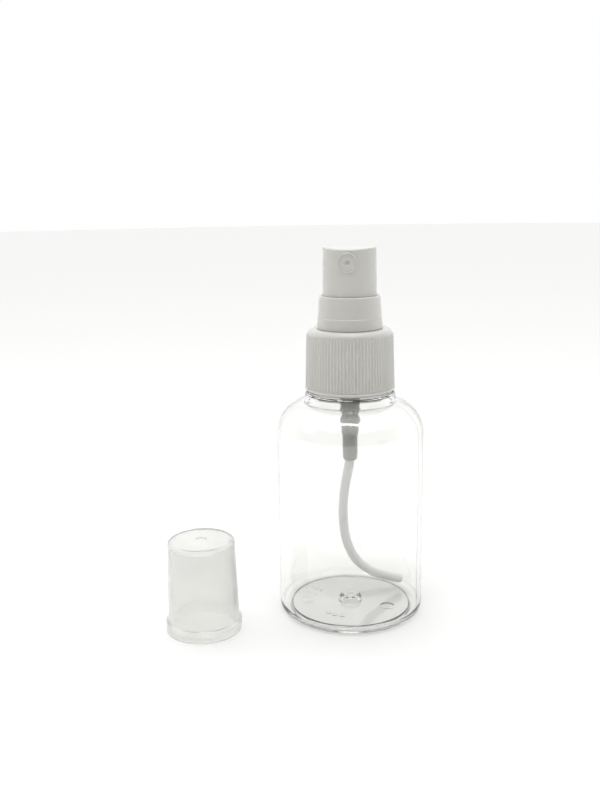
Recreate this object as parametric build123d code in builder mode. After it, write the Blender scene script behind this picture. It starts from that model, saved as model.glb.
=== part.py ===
from build123d import *
import os
from math import cos, pi, radians, sin, tan

# Fine-mist spray bottle with its overcap standing beside it.
# Millimetres, +Z up. The origin is on the bottle's axis, on the surface it stands on.
# The nozzle points along -Y.

# ---------------------------------------------------------------- driving dimensions

# Bottle, blow-moulded PET
body_r = 19.0            # outer radius of the straight wall
body_wall = 0.7          # wall of the body and shoulder
heel_r = 2.0             # outer radius of the heel
ring_in_r = 16.2         # inner edge of the flat standing ring
push_up = 0.55           # height of the base inside the standing ring
floor_z = 1.35           # inner floor
gate_r = 3.0             # raised gate boss in the middle of the floor
gate_top = 3.0
mark_height = 0.2        # plain mould marks raised under the base
register_r = 1.9         # round register recess under the base
register_from_axis = 10.4
register_depth = 0.35
shoulder_r = 8.5         # outer radius of the shoulder arc
shoulder_z = 48.5        # height where the straight wall ends
ring_foot_r = 11.9       # transfer ring at the root of the neck
ring_top_r = 11.5
ring_top_z = 59.3
ring_wall = 0.8
neck_r = 8.75            # outer wall of the neck finish
neck_bore_r = 7.55
rim_z = 72.2             # sealing rim

# 20 mm screw finish: 8 threads per inch, one and a half turns
pitch = 25.4 / 8
turns = 1.5
thread_crest_r = 9.8     # on the neck
thread_low_z = 64.9      # middle of the neck thread's lower end
cap_thread_r = 9.15      # crest of the closure's own thread
cap_thread_drop = 1.25   # how far it sits below the neck thread when closed

# Closure, moulded PP
closure_z = 59.7
closure_top_z = 75.6
closure_panel = 1.4
closure_in_r = 10.1
bead_r = 11.6            # bead round the lower edge
wall_foot_r = 11.2       # wall between the ribs, at the bottom and at the top
wall_top_r = 10.8
rib_count = 84
rib_height = 0.25
rib_foot_z = 60.9
rib_top_z = 74.1
closure_hole_r = 7.38

# Retainer collar, moulded PP
collar_base_z = 75.7
collar_top_z = 83.9
collar_base_r = 8.4
collar_ridge_z = 78.5
collar_low_r = 8.1       # above the ridge
collar_high_r = 7.74     # below the rounded lip
pocket_r = 7.0           # well that the actuator travels in
pocket_floor_z = 76.6
sleeve_r = 7.3           # sleeve that passes through the closure
guide_r = 1.98           # hole that guides the stem

# Pump housing, moulded PP
flange_r = 9.6
flange_z = 73.1
flange_top_z = 74.1
root_r = 4.9             # thick root under the flange
root_z = 70.8
cylinder_r = 3.1         # bore that the piston runs in
cylinder_out_r = 3.9
cylinder_foot_z = 60.4
vent_r = 0.35            # air vent through the cylinder wall
band_r = 2.9             # band round the spring chamber
band_z = 57.7
band_top_z = 59.2
chamber_r = 1.95         # spring chamber
chamber_out_r = 2.6
waist_r = 2.15
waist_z = 53.7
swell_r = 2.67           # swell round the ball chamber
swell_z = 51.8
throat_r = 1.3           # throat above the ball
throat_z = 53.9
ball_chamber_r = 1.8
inlet_r = 0.8            # inlet below the ball seat
ball_r = 1.5
seat_apex_z = 49.2       # apex of the 45 degree ball seat
socket_out_r = 1.95      # dip tube socket
socket_z = 41.0
tube_stop_z = 47.0

# Neck gasket, PE foam
gasket_r = 9.4

# Moving parts of the pump
stroke = 4.5
stem_r = 1.9
stem_bore_r = 0.8
stem_plug_r = 1.0        # socket in the stem's foot for the piston seat's plug
stem_plug_length = 3.4
stem_foot_z = 69.6
piston_z = 65.6          # lower lip of the piston
stem_top_z = 90.8
piston_lip_r = 3.05
piston_lip_wall = 0.3
piston_core_r = 2.5
piston_neck_r = 1.9
piston_bore_r = 1.2
seat_r = 1.75            # head of the piston seat
seat_pin_r = 1.1         # pin inside the top of the spring
wire_r = 0.175
spring_r = 1.5           # mean radius of the coil
spring_z = 54.75
spring_length = 9.3
spring_turns = 7.5

# Actuator, moulded PP
skirt_z = 81.3
actuator_top_z = 96.0
actuator_low_r = 6.88
actuator_high_r = 6.7
nozzle_z = 92.4
nozzle_face_y = -6.95
nozzle_r = 2.5           # orifice insert
nozzle_ring = 0.35       # raised ring round its face
nozzle_recess = 0.25
dimple_r = 0.7           # dimple round the orifice
dimple_depth = 0.3
orifice_r = 0.15

# Dip tube, extruded LDPE
tube_r = 1.25
tube_bore_r = 0.75
tube_plane_angle = 35.0  # plane of its curve, from +X towards +Y
# Route in that plane as (out, up), from the socket down to the heel. The tube has a permanent set.
tube_route = [
    (0.0, tube_stop_z - 0.1),
    (0.0, 40.3),
    (-1.8, 33.4),
    (-2.35, 26.2),
    (-1.5, 19.0),
    (1.3, 12.7),
    (6.8, 7.8),
    (13.1, 5.0),
    (16.2, 3.95),
]

# Overcap, moulded PP, standing mouth down beside the bottle
overcap_x = -36.2
overcap_y = -18.1
overcap_h = 24.1
overcap_rim_r = 9.68
overcap_rim_h = 3.0
overcap_flare_r = 9.1
overcap_top_r = 8.48
overcap_wall = 0.85
overcap_mouth_r = 8.65
overcap_grip_r = 8.22    # ring inside the mouth that grips the collar
overcap_gate_r = 1.4     # shallow dimple in the middle of the top

os.makedirs("parts", exist_ok=True)


def save(builder, name):
    """Label a finished sub-part and write it to its own STEP file."""
    builder.part.label = name
    export_step(builder.part, f"parts/{name}.step")


def tooth(inner_r, outer_r, root_width, crest_width, z):
    """Trapezoid section of a thread in the XZ plane, centred on height z."""
    with BuildSketch(Plane.XZ) as section:
        with BuildLine():
            Polyline(
                (inner_r, z - root_width / 2),
                (outer_r, z - crest_width / 2),
                (outer_r, z + crest_width / 2),
                (inner_r, z + root_width / 2),
                close=True,
            )
        make_face()
    return section.sketch


def screw_path(z):
    """Right-hand helix of the screw finish, rising from height z."""
    with BuildLine() as path:
        Helix(pitch=pitch, height=pitch * turns, radius=neck_r, center=(0, 0, z))
    return path.line


# ---------------------------------------------------------------- bottle

body_in_r = body_r - body_wall
shoulder_c = body_r - shoulder_r                # radius at which the shoulder arc is centred
shoulder_in_r = shoulder_r - body_wall
ring_foot_z = shoulder_z + (shoulder_r**2 - (ring_foot_r - shoulder_c) ** 2) ** 0.5
stub_in_r = ring_foot_r - ring_wall             # inside of the stub at the root of the neck
stub_in_z = shoulder_z + (shoulder_in_r**2 - (stub_in_r - shoulder_c) ** 2) ** 0.5

with BuildPart() as bottle:
    with BuildSketch(Plane.XZ):
        with BuildLine():
            # underside, from the axis outwards
            Polyline(
                (0, gate_top - 0.8),
                (gate_r - 1.2, gate_top - 0.9),
                (gate_r - 0.5, push_up),
                (ring_in_r - 0.6, push_up),
                (ring_in_r, 0),
                (body_r - heel_r, 0),
            )
            RadiusArc((body_r - heel_r, 0), (body_r, heel_r), -heel_r)
            Line((body_r, heel_r), (body_r, shoulder_z))
            RadiusArc((body_r, shoulder_z), (ring_foot_r, ring_foot_z), -shoulder_r)
            # transfer ring, neck wall and rim
            Polyline(
                (ring_foot_r, ring_foot_z),
                (ring_foot_r - 0.05, ring_foot_z + 0.7),
                (ring_top_r, ring_top_z - 0.3),
                (ring_top_r - 0.3, ring_top_z),
                (neck_r, ring_top_z),
                (neck_r, rim_z - 0.3),
                (neck_r - 0.3, rim_z),
                (neck_bore_r + 0.2, rim_z),
                (neck_bore_r, rim_z - 0.2),
                (neck_bore_r, ring_top_z - 0.2),
                (neck_bore_r + 0.5, ring_top_z - 0.8),
                (ring_top_r - ring_wall - 0.3, ring_top_z - 0.8),
                (ring_top_r - ring_wall, ring_top_z - 1.1),
                (stub_in_r, stub_in_z),
            )
            # inner shoulder, wall, heel and floor, back to the axis
            RadiusArc((stub_in_r, stub_in_z), (body_in_r, shoulder_z), shoulder_in_r)
            Line((body_in_r, shoulder_z), (body_in_r, heel_r + 0.6))
            RadiusArc((body_in_r, heel_r + 0.6), (body_in_r - 1.6, floor_z - 0.35), 1.6)
            Polyline(
                (body_in_r - 1.6, floor_z - 0.35),
                (ring_in_r, floor_z - 0.3),
                (ring_in_r - 0.5, floor_z + 0.05),
                (gate_r + 0.3, floor_z),
                (gate_r - 0.2, gate_top - 0.4),
                (gate_r - 0.7, gate_top),
                (0, gate_top),
                (0, gate_top - 0.8),
            )
        make_face()
    revolve(axis=Axis.Z)
    # plain mould marks raised under the base, and the shallow round register recess
    with BuildSketch(Plane.XY.offset(push_up)):
        with PolarLocations(11.5, 4, start_angle=150, angular_range=60):
            Rectangle(3.0, 0.7)
        with PolarLocations(9.5, 3, start_angle=238, angular_range=36):
            Circle(0.7)
    extrude(amount=-mark_height)
    with BuildSketch(Plane.XY.offset(push_up)):
        with PolarLocations(register_from_axis, 1, start_angle=-15):
            Circle(register_r)
    extrude(amount=register_depth, mode=Mode.SUBTRACT)
    # screw thread, rooted in the neck wall
    sweep(
        sections=tooth(neck_r - 0.3, thread_crest_r, 2.0, 0.8, thread_low_z),
        path=screw_path(thread_low_z),
        is_frenet=True,
    )
save(bottle, "bottle")

# ---------------------------------------------------------------- closure

panel_z = closure_top_z - closure_panel
cap_thread_z = thread_low_z - cap_thread_drop


def ribbed_ring(wall_r, crest_r, z):
    """Ring of narrow vertical ribs round a wall, cut at height z."""
    step = 360 / rib_count
    outline = []
    for i in range(rib_count):
        for r, share in ((wall_r, 0.1), (crest_r, 0.35), (crest_r, 0.65), (wall_r, 0.9)):
            angle = radians((i + share) * step)
            outline.append((r * cos(angle), r * sin(angle)))
    with BuildSketch(Plane.XY.offset(z)) as ring:
        with BuildLine():
            Polyline(*outline, close=True)
        make_face()
        Circle(wall_r - 0.6, mode=Mode.SUBTRACT)
    return ring.sketch


with BuildPart() as closure:
    add(loft([
        ribbed_ring(wall_foot_r, wall_foot_r + rib_height, rib_foot_z).face(),
        ribbed_ring(wall_top_r, wall_top_r + rib_height, rib_top_z).face(),
    ], ruled=True, mode=Mode.PRIVATE))
    with BuildSketch(Plane.XZ):
        with BuildLine():
            Polyline(
                (closure_in_r + 0.3, closure_z),
                (bead_r - 0.5, closure_z),
                (bead_r, closure_z + 0.5),
                (bead_r, rib_foot_z - 0.6),
                (bead_r - 0.15, rib_foot_z - 0.35),
                (wall_foot_r, rib_foot_z - 0.2),
                (wall_top_r, rib_top_z),
            )
            top_edge = (wall_top_r - 1.5, closure_top_z)
            RadiusArc((wall_top_r, rib_top_z), top_edge, -1.5)
            Polyline(
                top_edge,
                (closure_hole_r + 0.2, closure_top_z),
                (closure_hole_r, closure_top_z - 0.2),
                (closure_hole_r, panel_z),
                (closure_in_r, panel_z),
                (closure_in_r, closure_z + 0.4),
                (closure_in_r + 0.3, closure_z),
            )
        make_face()
    revolve(axis=Axis.Z)
    sweep(
        sections=tooth(closure_in_r + 0.3, cap_thread_r, 1.6, 0.6, cap_thread_z),
        path=screw_path(cap_thread_z),
        is_frenet=True,
    )
save(closure, "closure")

# ---------------------------------------------------------------- retainer collar

with BuildPart() as retainer_collar:
    with BuildSketch(Plane.XZ):
        with BuildLine():
            lip_r = 0.35
            Polyline(
                (collar_base_r, collar_base_z),
                (collar_base_r, collar_base_z + 0.5),
                (collar_low_r + 0.08, collar_ridge_z - 0.5),
                (collar_low_r + 0.08, collar_ridge_z),
                (collar_low_r, collar_ridge_z + 0.1),
                (collar_high_r, collar_top_z - lip_r),
            )
            RadiusArc(
                (collar_high_r, collar_top_z - lip_r),
                (collar_high_r - lip_r, collar_top_z),
                -lip_r,
            )
            Polyline(
                (collar_high_r - lip_r, collar_top_z),
                (pocket_r + 0.15, collar_top_z),
                (pocket_r, collar_top_z - 0.15),
                (pocket_r, pocket_floor_z),
                (guide_r + 0.3, pocket_floor_z),
                (guide_r, pocket_floor_z - 0.3),
                (guide_r, stem_foot_z + 1.0),
                (cylinder_r, stem_foot_z + 1.0),
                (cylinder_r, pocket_floor_z - 1.2),
                (sleeve_r - 0.8, pocket_floor_z - 1.2),
                (sleeve_r - 0.8, flange_top_z + 0.7),
                (sleeve_r - 0.6, flange_top_z + 0.5),
                (sleeve_r - 0.8, flange_top_z + 0.3),
                (sleeve_r - 0.8, flange_top_z),
                (sleeve_r, flange_top_z),
                (sleeve_r, collar_base_z),
                (collar_base_r, collar_base_z),
            )
        make_face()
    revolve(axis=Axis.Z)
save(retainer_collar, "retainer_collar")

# ---------------------------------------------------------------- pump housing

snap_r = sleeve_r - 0.8                      # ring of the housing that the collar snaps over
snap_top_z = pocket_floor_z - 1.25
cylinder_bottom_z = piston_z - stroke - 0.3  # room for the piston at the end of its stroke

with BuildPart() as pump_housing:
    with BuildSketch(Plane.XZ):
        with BuildLine():
            # outside, from the socket up to the flange
            Polyline(
                (tube_r + 0.4, socket_z),
                (socket_out_r - 0.15, socket_z + 0.25),
                (socket_out_r, socket_z + 0.7),
                (socket_out_r, swell_z - 4.3),
                (swell_r - 0.47, swell_z - 3.6),
                (swell_r - 0.32, swell_z - 1.6),
            )
            Spline(
                (swell_r - 0.32, swell_z - 1.6),
                (swell_r, swell_z),
                (waist_r, waist_z),
                (chamber_out_r, waist_z + 2.2),
                tangents=[(0.1, 1), (0, 1)],
            )
            Polyline(
                (chamber_out_r, waist_z + 2.2),
                (chamber_out_r, band_z - 0.4),
                (band_r, band_z),
                (band_r, band_top_z),
                (cylinder_out_r, cylinder_foot_z),
                (cylinder_out_r, root_z - 1.0),
                (root_r, root_z),
                (root_r, flange_z),
                (flange_r, flange_z),
                (flange_r, flange_top_z - 0.2),
                (flange_r - 0.2, flange_top_z),
                (snap_r, flange_top_z),
                (snap_r, flange_top_z + 0.3),
                (snap_r + 0.18, flange_top_z + 0.5),
                (snap_r, flange_top_z + 0.7),
                (snap_r - 0.1, snap_top_z),
                (snap_r - 0.9, snap_top_z),
                (snap_r - 0.9, flange_top_z - 0.1),
                (cylinder_r + 0.2, flange_top_z - 0.1),
                (cylinder_r, flange_top_z - 0.4),
                (cylinder_r, cylinder_bottom_z),
                # spring chamber, ledge, throat above the ball, ball chamber and seat
                (chamber_r, cylinder_bottom_z - 1.4),
                (chamber_r, spring_z - wire_r),
                (throat_r, spring_z - wire_r),
                (throat_r, throat_z),
                (ball_chamber_r, throat_z - 0.7),
                (ball_chamber_r, seat_apex_z + ball_chamber_r),
                (inlet_r, seat_apex_z + inlet_r),
                (inlet_r, tube_stop_z),
                (tube_r, tube_stop_z),
                (tube_r, socket_z + 2.6),
                (tube_r + 0.25, socket_z + 0.2),
                (tube_r + 0.4, socket_z),
            )
        make_face()
    revolve(axis=Axis.Z)
    # air vent through the cylinder wall, covered by the piston's lips at rest
    with BuildSketch(Plane.YZ):
        with Locations((0, piston_z + 2.8)):
            Circle(vent_r)
    extrude(amount=root_r, mode=Mode.SUBTRACT)
save(pump_housing, "pump_housing")

# ---------------------------------------------------------------- neck gasket

with BuildPart() as neck_gasket:
    with BuildSketch(Plane.XY.offset(rim_z)):
        Circle(gasket_r)
        Circle(root_r, mode=Mode.SUBTRACT)
    extrude(amount=flange_z - rim_z)
save(neck_gasket, "neck_gasket")

# ---------------------------------------------------------------- dip tube


def tangent_arc_radii(points):
    """Radius of the arc at each corner: as large as the two runs beside it allow."""
    radii = []
    for before, corner, after in zip(points, points[1:], points[2:]):
        run_in = Vector(*corner) - Vector(*before)
        run_out = Vector(*after) - Vector(*corner)
        half_turn = radians(run_in.get_angle(run_out)) / 2
        radii.append(0.45 * min(run_in.length, run_out.length) / tan(half_turn))
    return radii


tube_radii = tangent_arc_radii(tube_route)
print("dip tube arc radii:", [round(r, 1) for r in tube_radii])
tube_plane = Plane(
    origin=(0, 0, 0),
    x_dir=(cos(radians(tube_plane_angle)), sin(radians(tube_plane_angle)), 0),
    z_dir=(sin(radians(tube_plane_angle)), -cos(radians(tube_plane_angle)), 0),
)

with BuildPart() as dip_tube:
    with BuildLine(tube_plane) as tube_line:
        FilletPolyline(*tube_route, radius=tube_radii)
    with BuildSketch(Plane.XY.offset(tube_route[0][1])):
        Circle(tube_r)
        Circle(tube_bore_r, mode=Mode.SUBTRACT)
    sweep(path=tube_line.line)
save(dip_tube, "dip_tube")
tube_length = tube_line.wires()[0].length
tube_section = pi * (tube_r**2 - tube_bore_r**2)
print("dip tube, section x length:", round(tube_section * tube_length, 2))
print("dip tube, volume:", round(dip_tube.part.volume, 2))

# ---------------------------------------------------------------- stem, piston and piston seat

with BuildPart() as stem:
    with BuildSketch(Plane.XZ):
        with BuildLine():
            Polyline(
                (stem_plug_r, stem_foot_z),
                (stem_r, stem_foot_z),
                (stem_r, stem_top_z - 0.4),
                (stem_r - 0.3, stem_top_z),
                (stem_bore_r, stem_top_z),
                (stem_bore_r, stem_foot_z + stem_plug_length + 0.2),
                (stem_plug_r, stem_foot_z + stem_plug_length),
                close=True,
            )
        make_face()
    revolve(axis=Axis.Z)
save(stem, "stem")

with BuildPart() as piston:
    with BuildSketch(Plane.XZ):
        with BuildLine():
            Polyline(
                (piston_bore_r, piston_z + 0.2),
                (piston_neck_r, piston_z + 0.2),
                (piston_neck_r + 0.2, piston_z + 1.0),
                (piston_lip_r - piston_lip_wall, piston_z),
                (piston_lip_r, piston_z),
                (piston_lip_r, piston_z + 0.5),
                (piston_core_r, piston_z + 2.0),
                (piston_core_r, piston_z + 2.8),
                (piston_lip_r, piston_z + 4.0),
                (piston_lip_r, piston_z + 4.5),
                (piston_lip_r - piston_lip_wall, piston_z + 4.5),
                (piston_neck_r + 0.3, piston_z + 3.6),
                (piston_neck_r, stem_foot_z - 0.1),
                (piston_bore_r, stem_foot_z - 0.1),
                close=True,
            )
        make_face()
    revolve(axis=Axis.Z)
save(piston, "piston")

spring_seat_z = spring_z + spring_length + wire_r
plug_top_z = stem_foot_z + stem_plug_length - 0.4

with BuildPart() as piston_seat:
    with BuildSketch(Plane.XZ):
        with BuildLine():
            Polyline(
                (0, spring_seat_z - 3.6),
                (seat_pin_r - 0.3, spring_seat_z - 3.6),
                (seat_pin_r, spring_seat_z - 3.0),
                (seat_pin_r, spring_seat_z),
                (seat_r, spring_seat_z),
                (seat_r, piston_z - 0.3),
                (seat_r - 0.3, piston_z + 0.2),
                (stem_plug_r, piston_z + 0.2),
                (stem_plug_r, plug_top_z - 0.4),
                (stem_plug_r - 0.3, plug_top_z),
                (0, plug_top_z),
                close=True,
            )
        make_face()
    revolve(axis=Axis.Z)
    # two flats that let the liquid past into the stem
    with BuildSketch(Plane.XY.offset(piston_z + 0.3)):
        with GridLocations(2 * stem_plug_r - 0.25, 0, 2, 1):
            Rectangle(0.5, 2 * seat_pin_r)
    extrude(amount=plug_top_z - piston_z, mode=Mode.SUBTRACT)
save(piston_seat, "piston_seat")

# ---------------------------------------------------------------- return spring and inlet ball

with BuildPart() as return_spring:
    with BuildLine() as coil:
        Helix(
            pitch=spring_length / spring_turns,
            height=spring_length,
            radius=spring_r,
            center=(0, 0, spring_z),
        )
    with BuildSketch(Plane(origin=coil.line @ 0, z_dir=coil.line % 0)):
        Circle(wire_r)
    sweep(path=coil.line, is_frenet=True)
save(return_spring, "return_spring")

ball_z = seat_apex_z + ball_r * 2**0.5 + 0.04    # resting on the 45 degree seat

with BuildPart(Plane.XY.offset(ball_z)) as inlet_ball:
    Sphere(ball_r)
save(inlet_ball, "inlet_ball")

# ---------------------------------------------------------------- actuator

nozzle_plane = Plane(origin=(0, nozzle_face_y, nozzle_z), x_dir=(1, 0, 0), z_dir=(0, -1, 0))
insert_depth = 2.8       # depth of the ring groove that takes the insert
pin_r = 1.2              # pin inside the actuator that the insert caps
pin_inset = 0.9
boss_wall = 0.8          # wall round the groove
web = 0.8
skirt_wall = 0.95
crown_z = actuator_top_z - 1.5
socket_low_z = 84.0
socket_r = 3.1
duct_r = 0.45            # duct from the riser to the groove
duct_length = 3.6
duct_z = nozzle_z + (nozzle_r + pin_r) / 2

# Hollow under the crown: it leaves the stem socket, two thin webs and the nozzle boss standing.
with BuildPart() as actuator_hollow:
    with BuildSketch(Plane.XZ):
        with BuildLine():
            Polyline(
                (0, crown_z),
                (actuator_low_r - skirt_wall - 0.2, crown_z),
                (actuator_low_r - skirt_wall, skirt_z - 1),
                (0, skirt_z - 1),
                close=True,
            )
        make_face()
    revolve(axis=Axis.Z)
    with BuildSketch(Plane.XY.offset(socket_low_z)):
        Circle(socket_r)
    extrude(amount=crown_z + 1 - socket_low_z, mode=Mode.SUBTRACT)
    with BuildSketch(Plane.XY.offset(socket_low_z + 2)):
        Rectangle(2 * actuator_low_r, web)
    extrude(amount=crown_z + 1 - socket_low_z, mode=Mode.SUBTRACT)
    with BuildSketch(Plane.XZ):
        with Locations((0, nozzle_z)):
            Circle(nozzle_r + boss_wall)
    extrude(amount=actuator_low_r, mode=Mode.SUBTRACT)

with BuildPart() as actuator:
    with BuildSketch(Plane.XZ):
        with BuildLine():
            Polyline(
                (0, skirt_z),
                (actuator_low_r, skirt_z),
                (actuator_high_r, actuator_top_z),
                (0, actuator_top_z),
                close=True,
            )
        make_face()
    revolve(axis=Axis.Z)
    # finger hollow across the crown, along the spray direction
    dish = 0.45
    hollow_r = (actuator_high_r**2 + dish**2) / (2 * dish)
    with BuildSketch(Plane.XZ):
        with Locations((0, actuator_top_z - dish + hollow_r)):
            Circle(hollow_r)
    extrude(amount=actuator_low_r, both=True, mode=Mode.SUBTRACT)
    fillet(actuator.faces().sort_by(Axis.Z)[-1].edges(), radius=0.35)
    add(actuator_hollow.part, mode=Mode.SUBTRACT)
    # bore for the stem, riser and swirl chamber, with the pin left standing
    with BuildSketch(Plane.XY.offset(socket_low_z)):
        Circle(stem_r)
    extrude(amount=stem_top_z - socket_low_z, mode=Mode.SUBTRACT)
    with BuildSketch(Plane.XY.offset(stem_top_z)):
        Circle(stem_bore_r)
    extrude(amount=duct_z + duct_r - stem_top_z, mode=Mode.SUBTRACT)
    with BuildSketch(nozzle_plane):
        Circle(nozzle_r)
        Circle(pin_r, mode=Mode.SUBTRACT)
    extrude(amount=-insert_depth, mode=Mode.SUBTRACT)
    with BuildSketch(nozzle_plane):
        Circle(pin_r)
    extrude(amount=-pin_inset, mode=Mode.SUBTRACT)
    with BuildSketch(nozzle_plane.offset(-insert_depth)):
        with Locations((0, duct_z - nozzle_z)):
            Circle(duct_r)
    extrude(amount=-duct_length, mode=Mode.SUBTRACT)
save(actuator, "actuator")

# ---------------------------------------------------------------- nozzle insert

with BuildPart() as nozzle_insert:
    with BuildSketch(nozzle_plane):
        Circle(nozzle_r)
    extrude(amount=-(insert_depth - 0.3))
    # recessed face inside a raised, rounded ring
    with BuildSketch(nozzle_plane):
        Circle(nozzle_r - nozzle_ring)
    extrude(amount=-nozzle_recess, mode=Mode.SUBTRACT)
    fillet(nozzle_insert.faces().sort_by(Axis.Y)[0].edges(), radius=0.4 * nozzle_ring)
    # dimple, orifice, and the socket that goes over the pin
    with BuildSketch(nozzle_plane.offset(-nozzle_recess)):
        Circle(dimple_r)
    extrude(amount=-dimple_depth, taper=30, mode=Mode.SUBTRACT)
    with BuildSketch(nozzle_plane):
        Circle(orifice_r)
    extrude(amount=-pin_inset, mode=Mode.SUBTRACT)
    with BuildSketch(nozzle_plane.offset(-pin_inset)):
        Circle(pin_r)
    extrude(amount=-insert_depth, mode=Mode.SUBTRACT)
save(nozzle_insert, "nozzle_insert")

# ---------------------------------------------------------------- overcap

overcap_axis = Axis((overcap_x, overcap_y, 0), (0, 0, 1))
overcap_plane = Plane(origin=(overcap_x, overcap_y, 0), x_dir=(1, 0, 0), z_dir=(0, -1, 0))

with BuildPart() as overcap:
    with BuildSketch(overcap_plane):
        with BuildLine():
            corner = 0.9
            Polyline(
                (overcap_mouth_r, 0),
                (overcap_rim_r - 0.15, 0),
                (overcap_rim_r, 0.15),
                (overcap_rim_r, overcap_rim_h - 0.3),
                (overcap_rim_r - 0.25, overcap_rim_h),
                (overcap_flare_r, overcap_rim_h + 0.15),
                (overcap_top_r, overcap_h - corner),
            )
            RadiusArc((overcap_top_r, overcap_h - corner), (overcap_top_r - corner, overcap_h), -corner)
            inner_top_r = overcap_top_r - overcap_wall
            Polyline(
                (overcap_top_r - corner, overcap_h),
                (overcap_gate_r, overcap_h),
                (overcap_gate_r - 0.2, overcap_h - 0.15),
                (0, overcap_h - 0.15),
                (0, overcap_h - overcap_wall),
                (inner_top_r - 0.5, overcap_h - overcap_wall),
                (inner_top_r, overcap_h - overcap_wall - 0.5),
                (overcap_grip_r, overcap_rim_h),
                (overcap_grip_r, overcap_rim_h - 1.0),
                (overcap_mouth_r - 0.1, overcap_rim_h - 1.4),
                (overcap_mouth_r - 0.1, 0.3),
                (overcap_mouth_r, 0),
            )
        make_face()
    revolve(axis=overcap_axis)
save(overcap, "overcap")
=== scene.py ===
import math

import bmesh
import bpy
from mathutils import Matrix, Vector


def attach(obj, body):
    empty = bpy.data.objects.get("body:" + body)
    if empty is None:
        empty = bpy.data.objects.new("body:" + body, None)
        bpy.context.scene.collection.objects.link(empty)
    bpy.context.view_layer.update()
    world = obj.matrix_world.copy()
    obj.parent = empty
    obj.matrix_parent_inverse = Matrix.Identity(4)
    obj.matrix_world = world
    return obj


MM = 0.001
PLASTIC_IOR = 1.49          # polypropylene and polyethylene
PET_IOR = 1.575
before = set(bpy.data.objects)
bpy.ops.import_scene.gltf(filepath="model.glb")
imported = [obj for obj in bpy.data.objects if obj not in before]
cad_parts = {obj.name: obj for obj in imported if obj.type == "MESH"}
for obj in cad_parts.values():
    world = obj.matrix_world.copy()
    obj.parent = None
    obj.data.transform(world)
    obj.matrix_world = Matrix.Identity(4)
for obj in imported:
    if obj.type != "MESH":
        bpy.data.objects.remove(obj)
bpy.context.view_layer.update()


# ---------------------------------------------------------------- helpers

def hex_colour(code):
    """An sRGB hex value as linear red, green, blue and alpha."""
    channels = [int(code[i:i + 2], 16) / 255 for i in (0, 2, 4)]
    linear = [c / 12.92 if c <= 0.04045 else ((c + 0.055) / 1.055) ** 2.4 for c in channels]
    return (*linear, 1.0)


def add_node(tree, kind, settings=None, values=None, links=None):
    """Adds one node. settings are its properties, values its inputs, and links its inputs' sources."""
    node = tree.nodes.new(kind)
    for name, value in (settings or {}).items():
        setattr(node, name, value)
    for name, value in (values or {}).items():
        node.inputs[name].default_value = value
    for name, source in (links or {}).items():
        tree.links.new(source, node.inputs[name])
    return node


def new_material(name):
    """An empty material with its output node."""
    material = bpy.data.materials.new(name)
    material.use_nodes = True
    material.node_tree.nodes.clear()
    tree = material.node_tree
    return material, tree, add_node(tree, "ShaderNodeOutputMaterial")


def finish_node(node, material):
    """Gives a CAD node its material."""
    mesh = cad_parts[node].data
    mesh.materials.clear()
    mesh.materials.append(material)


def object_noise(tree, size_mm, detail=2.0, rough=0.5):
    """Noise fixed to the part, with lumps about size_mm across."""
    place = add_node(tree, "ShaderNodeTexCoord")
    return add_node(
        tree, "ShaderNodeTexNoise",
        values={"Scale": 1 / (size_mm * MM), "Detail": detail, "Roughness": rough},
        links={"Vector": place.outputs["Object"]},
    )


# ---------------------------------------------------------------- materials

# sizes of the patterns, in mm
RIPPLE_MM = 7.0             # slow waves in the blown wall
HAZE_MM = 4.0               # patches of duller gloss on it
TONE_MM = 9.0               # drift of tone across a moulding
WEAR_MM = 3.0               # patches of duller gloss from handling
FIBRE_MM = 0.6              # paper fibre, drawn coarse enough to show


def let_lamps_through(tree, shader, output, tint):
    """Thin clear walls throw only a faint shadow, so lamps shine through them."""
    clear = add_node(tree, "ShaderNodeBsdfTransparent", values={"Color": hex_colour(tint)})
    path = add_node(tree, "ShaderNodeLightPath")
    mix = add_node(tree, "ShaderNodeMixShader", links={"Fac": path.outputs["Is Shadow Ray"]})
    tree.links.new(shader.outputs["BSDF"], mix.inputs[1])
    tree.links.new(clear.outputs["BSDF"], mix.inputs[2])
    tree.links.new(mix.outputs["Shader"], output.inputs["Surface"])


def clear_pet():
    """Clear blow-moulded PET: bright and glassy, with the slow ripple that stretch blowing leaves."""
    material, tree, output = new_material("clear blow-moulded PET")
    ripple = object_noise(tree, RIPPLE_MM, detail=1.0)
    bump = add_node(
        tree, "ShaderNodeBump",
        values={"Strength": 0.35, "Distance": 0.05 * MM},
        links={"Height": ripple.outputs["Fac"]},
    )
    haze = object_noise(tree, HAZE_MM)
    gloss = add_node(
        tree, "ShaderNodeMapRange",
        values={"From Min": 0.3, "From Max": 0.7, "To Min": 0.015, "To Max": 0.05},
        links={"Value": haze.outputs["Fac"]},
    )
    shader = add_node(
        tree, "ShaderNodeBsdfPrincipled",
        values={"Base Color": hex_colour("fefefd"), "Transmission Weight": 1.0, "IOR": PET_IOR},
        links={"Normal": bump.outputs["Normal"], "Roughness": gloss.outputs["Result"]},
    )
    let_lamps_through(tree, shader, output, "e3e3e3")
    return material


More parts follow.
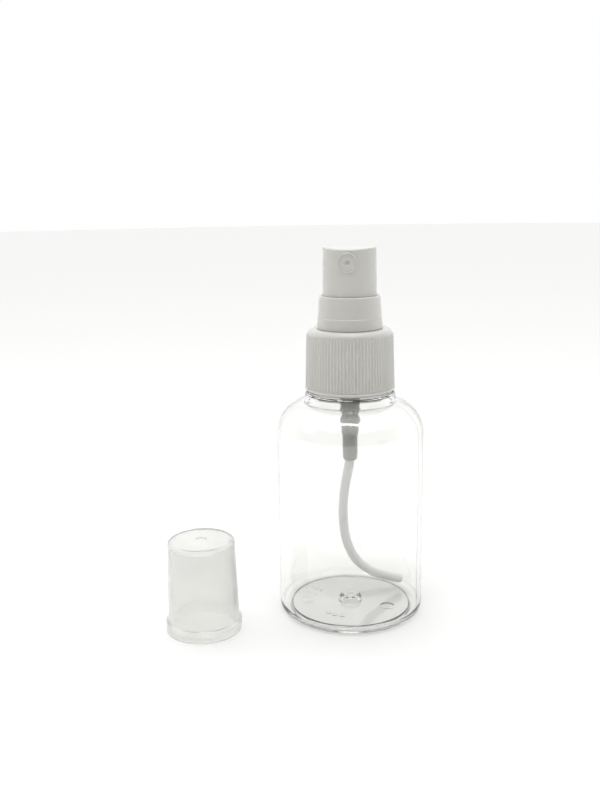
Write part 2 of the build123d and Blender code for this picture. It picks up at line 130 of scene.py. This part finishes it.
def moulded_plastic(name, tint, shade, roughness, grain_mm, depth_mm, shadow=None, **extra):
    """Moulded polyolefin: waxy sheen, slight unevenness of tone, and a fine grain from the mould.

    grain_mm and depth_mm are the size and height of the grain. shadow is the tint of the faint shadow that a
    see-through piece throws. extra holds more inputs of the shader.
    """
    material, tree, output = new_material(name)
    tone = object_noise(tree, TONE_MM)
    colour = add_node(tree, "ShaderNodeValToRGB", links={"Fac": tone.outputs["Fac"]})
    colour.color_ramp.elements[0].position = 0.35
    colour.color_ramp.elements[0].color = hex_colour(shade)
    colour.color_ramp.elements[1].position = 0.65
    colour.color_ramp.elements[1].color = hex_colour(tint)
    grain = object_noise(tree, grain_mm, detail=4.0)
    bump = add_node(
        tree, "ShaderNodeBump",
        values={"Strength": 0.5, "Distance": depth_mm * MM},
        links={"Height": grain.outputs["Fac"]},
    )
    wear = object_noise(tree, WEAR_MM)
    gloss = add_node(
        tree, "ShaderNodeMapRange",
        values={"From Min": 0.3, "From Max": 0.7, "To Min": roughness - 0.04, "To Max": roughness + 0.05},
        links={"Value": wear.outputs["Fac"]},
    )
    shader = add_node(
        tree, "ShaderNodeBsdfPrincipled",
        values={"IOR": PLASTIC_IOR, **extra},
        links={
            "Base Color": colour.outputs["Color"],
            "Roughness": gloss.outputs["Result"],
            "Normal": bump.outputs["Normal"],
        },
    )
    if shadow:
        let_lamps_through(tree, shader, output, shadow)
    else:
        tree.links.new(shader.outputs["BSDF"], output.inputs["Surface"])
    return material


def steel(name, tint, roughness, scratch_mm):
    """Stainless steel: drawn or ground, so fine marks break up the reflection."""
    material, tree, output = new_material(name)
    marks = object_noise(tree, scratch_mm, detail=6.0)
    bump = add_node(
        tree, "ShaderNodeBump",
        values={"Strength": 0.3, "Distance": 0.002 * MM},
        links={"Height": marks.outputs["Fac"]},
    )
    shader = add_node(
        tree, "ShaderNodeBsdfPrincipled",
        values={"Base Color": hex_colour(tint), "Metallic": 1.0, "Roughness": roughness},
        links={"Normal": bump.outputs["Normal"]},
    )
    tree.links.new(shader.outputs["BSDF"], output.inputs["Surface"])
    return material


pet = clear_pet()
# opaque white with a soft gloss, so that rounded edges catch a thin highlight
white_pp = moulded_plastic(
    "white moulded polypropylene", "dbdad5", "d8d7d2", 0.2, 0.25, 0.002,
    **{"Subsurface Weight": 0.12, "Subsurface Radius": (1.0, 0.9, 0.8), "Subsurface Scale": 0.6 * MM})
# uncoloured polypropylene reads as a cloudy grey where it is thick
natural_pp = moulded_plastic(
    "natural polypropylene", "cdccc8", "c6c5c0", 0.3, 0.3, 0.003, **{"Transmission Weight": 0.1})
# soft and nearly matt, as flexible seals are
soft_ldpe = moulded_plastic("white low-density polyethylene", "eeeee9", "e6e6e1", 0.45, 0.2, 0.01)
# extruded smooth; light bleeds through the thin wall and lifts its tone
tube_ldpe = moulded_plastic(
    "milky low-density polyethylene tube", "fdfdfb", "f9f9f6", 0.3, 0.8, 0.002,
    **{"Subsurface Weight": 0.6, "Subsurface Radius": (1.0, 1.0, 1.0), "Subsurface Scale": 0.8 * MM})
# closed cells, so dull and finely pitted
foam_pe = moulded_plastic("polyethylene foam sheet", "efeeea", "e4e3de", 0.7, 0.35, 0.06)
# thin clarified polypropylene: a milky veil with a shine over it
frosted_pp = moulded_plastic(
    "frosted polypropylene", "f9f9f7", "f5f5f3", 0.16, 0.18, 0.004, shadow="f0f0f0",
    **{"Transmission Weight": 0.8})
# drawing leaves a satin wire
spring_wire = steel("drawn stainless spring wire", "c9c8c6", 0.28, 0.15)
# ground and polished, so it mirrors what is round it
ball_steel = steel("ground stainless ball", "d6d6d6", 0.08, 0.6)

for node, material in {
    "bottle": pet,
    "closure": white_pp,
    "retainer_collar": white_pp,
    "actuator": white_pp,
    "nozzle_insert": white_pp,
    "pump_housing": natural_pp,
    "stem": natural_pp,
    "piston_seat": natural_pp,
    "piston": soft_ldpe,
    "neck_gasket": foam_pe,
    "dip_tube": tube_ldpe,
    "return_spring": spring_wire,
    "inlet_ball": ball_steel,
    "overcap": frosted_pp,
}.items():
    finish_node(node, material)


# ---------------------------------------------------------------- mould parting line

LINE_AZIMUTH = 70           # degrees from -Y towards +X; the other half line is opposite
LINE_R = 0.07               # mm, as are the sizes of the bottle that follow
WALL_R = 19.0
WALL_LOW = 2.5
WALL_HIGH = 48.5
SHOULDER_R = 8.5
SHOULDER_END = 80           # degrees up the shoulder arc, short of the transfer ring
SHOULDER_STEP = 5


def make_parting_line(name, azimuth):
    """The fine raised seam that the two mould halves leave up the wall and over the shoulder."""
    curve = bpy.data.curves.new(name, "CURVE")
    curve.dimensions = "3D"
    curve.bevel_depth = LINE_R * MM
    curve.use_fill_caps = True
    route = [(WALL_R, WALL_LOW)]
    for step in range(0, SHOULDER_END + 1, SHOULDER_STEP):
        lean = math.radians(step)
        out = WALL_R - SHOULDER_R * (1 - math.cos(lean))
        route.append((out, WALL_HIGH + SHOULDER_R * math.sin(lean)))
    line = curve.splines.new("POLY")
    line.points.add(len(route) - 1)
    across, along = math.sin(math.radians(azimuth)), -math.cos(math.radians(azimuth))
    for point, (out, up) in zip(line.points, route):
        point.co = (out * across * MM, out * along * MM, up * MM, 1)
    seam = bpy.data.objects.new(name, curve)
    curve.materials.append(pet)
    bpy.context.scene.collection.objects.link(seam)
    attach(seam, "bottle")


make_parting_line("parting_line_right", LINE_AZIMUTH)
make_parting_line("parting_line_left", LINE_AZIMUTH + 180)


# ---------------------------------------------------------------- studio

FLOOR_R = 3.0               # metres
FLOOR_GAP_MM = 0.02         # below the object, so that the two never share a plane
LAMP_AIM_MM = (0, 0, 45)    # middle of the bottle


def make_floor():
    """A pale seamless floor, large enough to reach the horizon softly."""
    mesh = bpy.data.meshes.new("studio_floor")
    shape = bmesh.new()
    bmesh.ops.create_circle(shape, cap_ends=True, segments=96, radius=FLOOR_R)
    shape.to_mesh(mesh)
    shape.free()
    floor = bpy.data.objects.new("studio_floor", mesh)
    floor.location.z = -FLOOR_GAP_MM * MM
    bpy.context.scene.collection.objects.link(floor)
    material, tree, output = new_material("white studio paper")
    fibre = object_noise(tree, FIBRE_MM, detail=3.0)
    bump = add_node(
        tree, "ShaderNodeBump",
        values={"Strength": 0.1, "Distance": 0.02 * MM},
        links={"Height": fibre.outputs["Fac"]},
    )
    shader = add_node(
        tree, "ShaderNodeBsdfPrincipled",
        values={"Base Color": hex_colour("f8f8f7"), "Roughness": 0.9},
        links={"Normal": bump.outputs["Normal"]},
    )
    tree.links.new(shader.outputs["BSDF"], output.inputs["Surface"])
    mesh.materials.append(material)


def make_softbox(name, place_mm, width_mm, height_mm, watts):
    """A rectangular area lamp that faces the middle of the bottle."""
    lamp = bpy.data.lights.new(name, "AREA")
    lamp.shape = "RECTANGLE"
    lamp.size = width_mm * MM
    lamp.size_y = height_mm * MM
    lamp.energy = watts
    box = bpy.data.objects.new(name, lamp)
    place = Vector(place_mm) * MM
    aim = Vector(LAMP_AIM_MM) * MM - place
    box.matrix_world = Matrix.Translation(place) @ aim.to_track_quat("-Z", "Y").to_matrix().to_4x4()
    bpy.context.scene.collection.objects.link(box)


FRONT = 0.02                # brightness on the camera's side
FRONT_Y = -0.35             # direction along Y where the dim side ends
BACK_Y = 0.3                # and where the full backdrop begins
CEILING = 1.6              # brightness overhead; the backdrop behind the object is 1
CEILING_LOW = 0.6           # height in the surround where the ceiling begins, 1 being straight up
CEILING_HIGH = 0.9          # and where it is full


def make_world():
    """An even pale surround: white behind the object and above it, dimmer on the camera's side."""
    world = bpy.data.worlds.new("studio")
    bpy.context.scene.world = world
    world.use_nodes = True
    tree = world.node_tree
    tree.nodes.clear()
    place = add_node(tree, "ShaderNodeTexCoord")
    parts = add_node(tree, "ShaderNodeSeparateXYZ", links={"Vector": place.outputs["Generated"]})
    around = add_node(
        tree, "ShaderNodeMapRange",
        values={"From Min": FRONT_Y, "From Max": BACK_Y, "To Min": FRONT, "To Max": 1.0},
        links={"Value": parts.outputs["Y"]},
    )
    above = add_node(
        tree, "ShaderNodeMapRange",
        values={"From Min": CEILING_LOW, "From Max": CEILING_HIGH, "To Min": 0.0, "To Max": 1.0},
        links={"Value": parts.outputs["Z"]},
    )
    light = add_node(
        tree, "ShaderNodeMix", settings={"data_type": "FLOAT"},
        links={"Factor": above.outputs["Result"], "A": around.outputs["Result"]},
    )
    light.inputs["B"].default_value = CEILING
    back = add_node(tree, "ShaderNodeBackground", links={"Strength": light.outputs["Result"]})
    back.inputs["Color"].default_value = (1, 1, 1, 1)
    output = add_node(tree, "ShaderNodeOutputWorld", links={"Surface": back.outputs["Background"]})
    output.is_active_output = True


CAMERA_MM = (21.2, -225.2, 108.85)
CAMERA_YAW = -8.65          # degrees from +Y towards +X
CAMERA_PITCH = -12.94
CAMERA_ROLL = -0.9
FIELD_OF_VIEW = 48.08       # degrees, over the frame's height


def make_camera():
    """A camera at the height and distance of a tabletop portrait."""
    data = bpy.data.cameras.new("camera")
    data.sensor_fit = "VERTICAL"
    data.angle = math.radians(FIELD_OF_VIEW)
    data.clip_start = 1 * MM
    camera = bpy.data.objects.new("camera", data)
    yaw, pitch, roll = (math.radians(a) for a in (CAMERA_YAW, CAMERA_PITCH, CAMERA_ROLL))
    turn = Matrix.Rotation(-yaw, 4, "Z") @ Matrix.Rotation(math.pi / 2 + pitch, 4, "X")
    camera.matrix_world = Matrix.Translation(Vector(CAMERA_MM) * MM) @ turn @ Matrix.Rotation(roll, 4, "Z")
    bpy.context.scene.collection.objects.link(camera)
    bpy.context.scene.camera = camera


make_floor()
make_world()
make_softbox("overhead_softbox", place_mm=(-10, -140, 560), width_mm=380, height_mm=50, watts=0.7)
make_softbox("left_softbox", place_mm=(-330, -120, 260), width_mm=120, height_mm=120, watts=0.1)
make_camera()
bpy.context.scene.view_settings.view_transform = "Standard"
